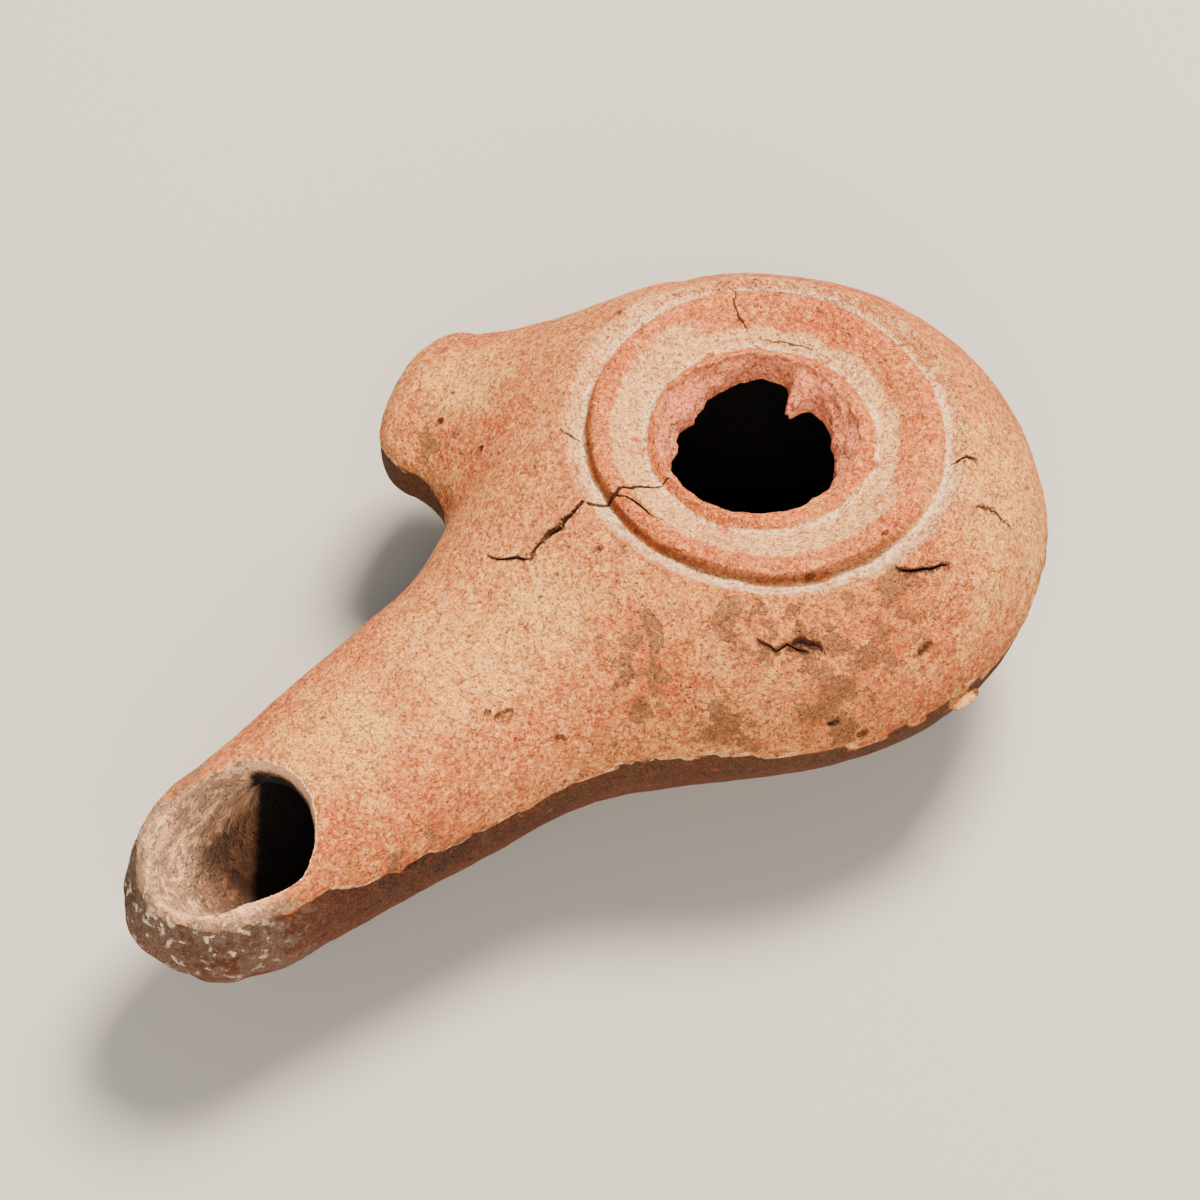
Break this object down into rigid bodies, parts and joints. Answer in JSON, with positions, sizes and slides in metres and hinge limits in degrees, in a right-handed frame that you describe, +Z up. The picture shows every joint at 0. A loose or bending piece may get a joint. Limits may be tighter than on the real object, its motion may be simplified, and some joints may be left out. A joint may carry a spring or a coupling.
{
  "type": "oil lamp",
  "caption": "Mould-made pottery oil lamp with a round body, ringed sunk top, broken fill hole, long nozzle with a worn wick hole and one side lug.",
  "frame": {"origin": "under the axis of the round body, on the surface that the lamp stands on", "axes": "+X along the nozzle towards the wick hole, +Z up, the side lug is on the -Y side"},
  "size_m": [0.0995, 0.0642, 0.0328],
  "materials": {
    "fired_clay": "unglazed, matt, orange with worn pale slip and soot at the wick hole"
  },
  "bodies": {
    "root": {"oil_lamp": "fired_clay"}
  },
  "joints": []
}
